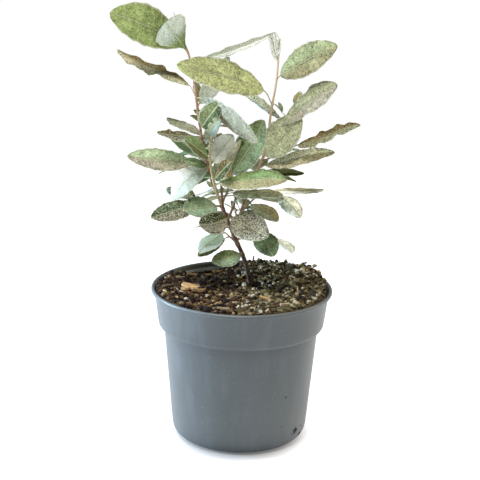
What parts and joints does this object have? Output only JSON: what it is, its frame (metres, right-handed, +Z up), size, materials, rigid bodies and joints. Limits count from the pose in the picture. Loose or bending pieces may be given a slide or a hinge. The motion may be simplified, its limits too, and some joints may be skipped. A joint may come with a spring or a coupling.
{
  "type": "potted compacta ebbinges silverberry",
  "caption": "Young evergreen silverberry shrub with silvery, scaly leaves on a forked woody stem, growing in a round grey nursery pot of bark soil.",
  "frame": {"origin": "centre of the pot's flat underside", "axes": "+Z up, -Y towards the side the picture shows, +X to that view's right"},
  "size_m": [0.2727, 0.21, 0.4998],
  "materials": {
    "pot": "moulded matt grey plastic with faint scuffs",
    "soil": "rough bark and fibre mix with pale grains and wood chips",
    "bark": "smooth young bark, dark red-brown at the foot and tan above",
    "leaf": "leathery leaf with silvery scales"
  },
  "bodies": {
    "root": {"pot": "pot", "soil": "soil", "trunk": "bark", "bough_left": "bark", "bough_right": "bark", "bough_front": "bark", "bough_back_left": "bark", "bough_back_right": "bark", "foliage_left": "leaf", "foliage_front": "leaf", "foliage_middle": "leaf", "foliage_right": "leaf", "foliage_low_right": "leaf", "foliage_foot_right": "leaf", "foliage_low_left": "leaf", "foliage_foot_left": "leaf", "foliage_stub_left": "leaf", "foliage_stub_front": "leaf", "foliage_back_low": "leaf", "foliage_back_left": "leaf", "foliage_back_right": "leaf"}
  },
  "joints": []
}
